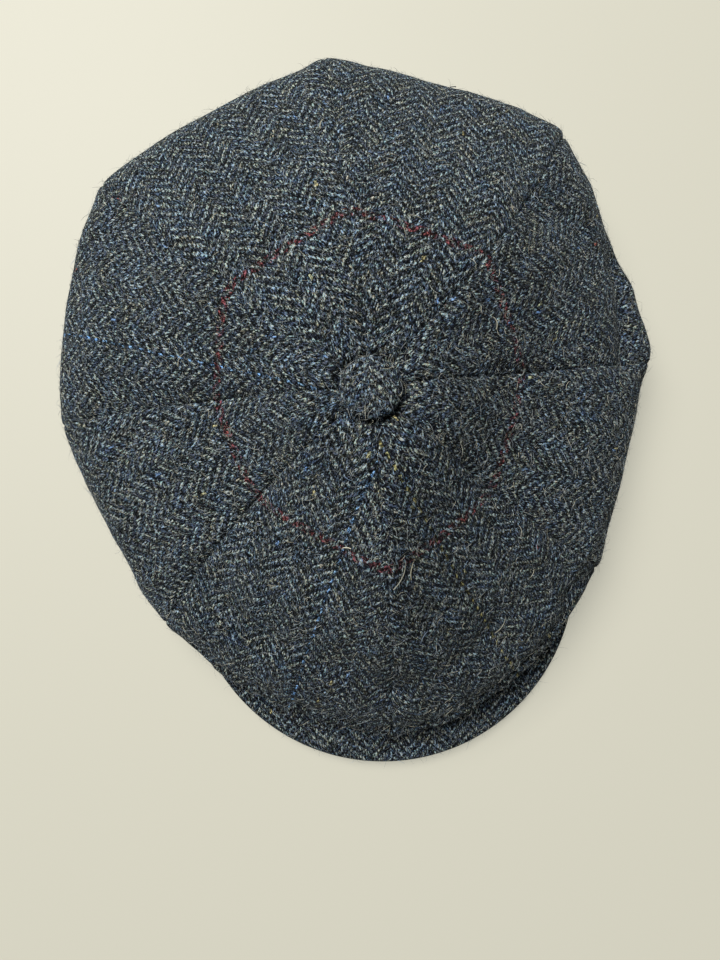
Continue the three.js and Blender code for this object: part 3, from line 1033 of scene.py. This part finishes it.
def herringbone(wires, cloth, seed):
    """Which thread lies on top at each place and how high, with three chances for each float:
    its shade, its brightness and its lift."""
    m = wires.math
    across, along, _ = wires.split(cloth)
    turned = wires.join(along, across, WEFT_WAVES)
    x = m("DIVIDE", m("ADD", across, wander(wires, cloth)), THREAD)
    y = m("DIVIDE", m("ADD", along, wander(wires, turned)), THREAD)
    column = m("FLOOR", m("DIVIDE", x, TURN_BACK))
    odd = m("MODULO", m("ABSOLUTE", column), 2.0)
    slant = m("SUBTRACT", 1.0, m("MULTIPLY", odd, 2.0))
    first = m("MULTIPLY", column, TURN_BACK)
    within = m("MULTIPLY", slant, m("SUBTRACT", x, first))
    step = m("ADD", within, m("MULTIPLY", odd, ODD_WEFT_START))

    # The floats lean towards the line of the twill
    twill = m("SUBTRACT", m("ADD", step, y), TWILL_LINE)
    lean = m("MULTIPLY", m("SINE", m("MULTIPLY", twill, 2 * math.pi / REPEAT)), LEAN)
    x_lean = m("ADD", x, m("MULTIPLY", slant, lean))
    y_lean = m("SUBTRACT", y, lean)
    warp = m("FLOOR", x_lean)
    weft = m("FLOOR", y_lean)

    # Where each thread is in its turn of two over and two under, and which float that is
    warp_step = m("MULTIPLY", slant, m("SUBTRACT", warp, first))
    warp_run = m("ADD", m("ADD", warp_step, m("MULTIPLY", odd, ODD_WARP_START)), y)
    weft_run = m("ADD", step, weft)
    warp_float = wires.join(warp, m("FLOOR", m("DIVIDE", warp_run, REPEAT)), seed)
    weft_float = wires.join(m("FLOOR", m("DIVIDE", weft_run, REPEAT)), weft, seed + 0.5)
    warp_draw = wires.split(wires.random(warp_float))
    weft_draw = wires.split(wires.random(weft_float))
    warp_height = thread_height(wires, warp_run, WARP_CREST, x_lean, warp_draw[2])
    weft_height = thread_height(wires, weft_run, WEFT_CREST, y_lean, weft_draw[2])
    chance = m("SUBTRACT", wires.noise(cloth, EDGE_GRAIN, 2), 0.5)
    above = m("SUBTRACT", warp_height, weft_height)
    above = m("ADD", above, m("MULTIPLY", chance, EDGE_CHANCE))
    over = wires.range(above, -FLOAT_EDGE, FLOAT_EDGE, smooth=True)
    height = m("MAXIMUM", warp_height, weft_height)
    return Weave(across, along, slant, warp, weft, above, over, height, warp_draw, weft_draw)


def wool_colour(wires, cloth, weave, tuft, warp_lines, ring):
    """Mixed wool: each float has a shade of its own, under a faint tint that goes by patches."""
    m = wires.math
    shift = m("MULTIPLY", tuft, SHADE_SHIFT)
    warp_pick = m("FRACT", m("ADD", weave.warp_draw[0], shift))
    weft_pick = m("FRACT", m("ADD", weave.weft_draw[0], shift))
    warp_colour = wires.ramp(warp_pick, WARP_SHADES, "CONSTANT")
    weft_colour = wires.ramp(weft_pick, WEFT_SHADES, "CONSTANT")
    for thread, dye in warp_lines:
        warp_colour = wires.mix(m("COMPARE", weave.warp, float(thread), 0.5), warp_colour, dye)
    colour = wires.mix(weave.over, weft_colour, warp_colour)
    if ring:
        red_weft = m("COMPARE", weave.weft, RED_WEFT, RED_REACH)
        raised = m("MULTIPLY", red_weft, wires.range(weave.above, *RED_SHOWS))
        chance = wires.range(wires.noise(cloth, RED_GRAIN, 2), *RED_CHANCE)
        colour = wires.mix(m("MULTIPLY", raised, chance), colour, RED)
    fleck = m("MULTIPLY", m("GREATER_THAN", weave.warp_draw[1], FLECK_FROM), weave.over)
    colour = wires.mix(fleck, colour, wires.ramp(weave.warp_draw[2], FLECKS, "CONSTANT"))
    tint = wires.ramp(wires.noise(cloth, TINT_GRAIN, 3), PATCH_TINTS)
    return wires.mix(1.0, colour, tint, "MULTIPLY")


def wool_tone(wires, cloth, weave, tuft, fibre, seed, light):
    """Brightness, summed in doublings: by float, by tuft of fibres, by fibre, along fine strands
    and curls, by painted shade down between the threads and by patch."""
    m = wires.math
    under = m("SUBTRACT", 1.0, weave.over)
    warp_level = m("MULTIPLY", weave.warp_draw[1], weave.over)
    level = m("ADD", warp_level, m("MULTIPLY", weave.weft_draw[1], under))
    strand = tufts(wires, weave, STRAND_GRAIN, seed + 5)
    curl = wires.noise(cloth, CURL_GRAIN, 3)
    patch = wires.noise(cloth, PATCH_GRAIN, 2)
    swings = (
        (level, FLOAT_CONTRAST),
        (tuft, TUFT_CONTRAST),
        (fibre, FIBRE_CONTRAST),
        (patch, PATCH_CONTRAST),
    )
    # Painted shade: darker down in the hollows between the threads, lighter on their tops
    doublings = wires.range(weave.height, *HOLLOW_SHADE)
    for value, contrast in swings:
        swing = m("MULTIPLY", m("SUBTRACT", value, 0.5), contrast)
        doublings = m("ADD", doublings, swing)
    for value, line in ((strand, STRAND_LINES), (curl, CURL_LINES)):
        off_line = m("ABSOLUTE", m("SUBTRACT", value, 0.5))
        doublings = m("ADD", doublings, wires.range(off_line, *line))
    return m("MINIMUM", m("MULTIPLY", m("POWER", 2.0, doublings), light), BRIGHTEST)


def wander(wires, vector):
    """Uneven spacing of the threads, in mm: slow over a hand's breadth and quick within a float."""
    m = wires.math
    total = 0.0
    for grain, size in (SLOW_WANDER, QUICK_WANDER):
        wave = m("MULTIPLY", m("SUBTRACT", wires.noise(vector, grain, 2), 0.5), size)
        total = m("ADD", wave, total)
    return total


def thread_height(wires, run, crest, across, lift):
    """How high a thread lies: its turn over and under, its round back and a chance of its own."""
    m = wires.math
    rise = m("COSINE", m("MULTIPLY", m("SUBTRACT", run, crest), 2 * math.pi / REPEAT))
    back = m("SINE", m("MULTIPLY", m("FRACT", across), math.pi))
    height = m("ADD", m("MULTIPLY", rise, RISE_SHARE), m("MULTIPLY", back, BACK_SHARE))
    return m("ADD", height, m("MULTIPLY", m("SUBTRACT", lift, 0.5), LIFT_CHANCE))


def tufts(wires, weave, grain, seed):
    """Noise drawn out along the floats."""
    m = wires.math
    close, far = grain
    aside = m("MULTIPLY", weave.slant, TUFT_ASIDE)
    down = m("MULTIPLY", weave.along, TUFT_ALONG)
    down = m("SUBTRACT", down, m("MULTIPLY", weave.across, aside))
    side = m("MULTIPLY", weave.across, TUFT_ALONG)
    side = m("ADD", side, m("MULTIPLY", weave.along, aside))
    spot = wires.join(m("MULTIPLY", side, close), m("MULTIPLY", down, far), seed)
    return wires.noise(spot, 1.0, 2, 0.6)


def nap_material():
    """Wool fibres from dark to pale. The first cloth coordinate is a hair's place on the ramp."""
    known = bpy.data.materials.get("wool_nap")
    if known:
        return known
    wires = Wires("wool_nap")
    pick, _, _ = wires.split(wires.uv("Cloth"))
    shades = (
        (0.0, (0.06, 0.07, 0.08)),
        (0.35, (0.17, 0.20, 0.22)),
        (0.7, (0.34, 0.37, 0.37)),
        (0.92, (0.52, 0.50, 0.38)),
        (1.0, (0.20, 0.32, 0.50)),
    )
    wires.plug(wires.ramp(pick, shades), wires.shader.inputs["Base Color"])
    wires.shader.inputs["Roughness"].default_value = 0.7
    wires.shader.inputs["Specular IOR Level"].default_value = 0.3
    return wires.material


def table():
    """A plain pale table top that glows evenly: painted light that lightens the shadows on it."""
    half = TABLE_HALF
    corners = [(-half, -half), (half, -half), (half, half), (-half, half)]
    points = [(x, y, 0) for x, y in corners]
    made = new_object("table_top", points, [[0, 1, 2, 3]], corners)
    wires = Wires("pale_table")
    wires.shader.inputs["Base Color"].default_value = (0.22, 0.213, 0.174, 1)
    wires.shader.inputs["Roughness"].default_value = 0.6
    # Painted light: an even glow that lightens the cap's shadow on the table
    wires.shader.inputs["Emission Color"].default_value = (0.56, 0.55, 0.46, 1)
    wires.shader.inputs["Emission Strength"].default_value = 0.75
    made.data.materials.append(wires.material)


def area_light(name, place, size, power, colour):
    """A square light that faces the cap."""
    light = bpy.data.lights.new(name, "AREA")
    light.shape = "RECTANGLE"
    light.size = size
    light.size_y = size
    light.energy = power
    light.color = colour
    made = bpy.data.objects.new(name, light)
    bpy.context.scene.collection.objects.link(made)
    made.location = place
    made.rotation_euler = (-Vector(place)).to_track_quat("-Z", "Y").to_euler()


def lights():
    """Soft window light from the back left and a pale room round it."""
    world = bpy.data.worlds.new("room")
    bpy.context.scene.world = world
    world.use_nodes = True
    background = world.node_tree.nodes["Background"]
    background.inputs["Color"].default_value = (0.90, 0.95, 1.0, 1)
    background.inputs["Strength"].default_value = ROOM_LIGHT
    area_light("window", WINDOW_PLACE, WINDOW_SIZE, WINDOW_WATTS, (1.0, 0.98, 0.95))
    area_light("ceiling", CEILING_PLACE, CEILING_SIZE, CEILING_WATTS, (1.0, 0.99, 0.97))


def camera():
    """The photo was taken from straight above, a forearm's length off the table."""
    data = bpy.data.cameras.new("camera")
    data.sensor_width = SENSOR
    data.lens = SENSOR * FOCAL_PIXELS / PHOTO_HEIGHT
    made = bpy.data.objects.new("camera", data)
    made.location = CAMERA_PLACE
    made.rotation_euler = (0, 0, math.radians(CAMERA_TURN))
    data.clip_start = 0.01
    bpy.context.scene.collection.objects.link(made)
    bpy.context.scene.camera = made


bpy.context.scene.view_settings.view_transform = "Standard"
lines = fold_lines(FOLDS + FINE_FOLDS)
crown_material = tweed("crown_tweed", WARP_LINES, ring=True)
crown = [crown_panel(index, lines, crown_material) for index in range(len(PANELS))]
loose_fibres(crown)
head_band(tweed("band_tweed", seed=20.0))
# Painted light and shade: the peak's tweed is a little darker and the button's brighter than the
# crown's
peak(tweed("peak_tweed", seed=40.0, light=0.74))
button(tweed("button_tweed", seed=60.0, light=0.88))
table()
lights()
camera()
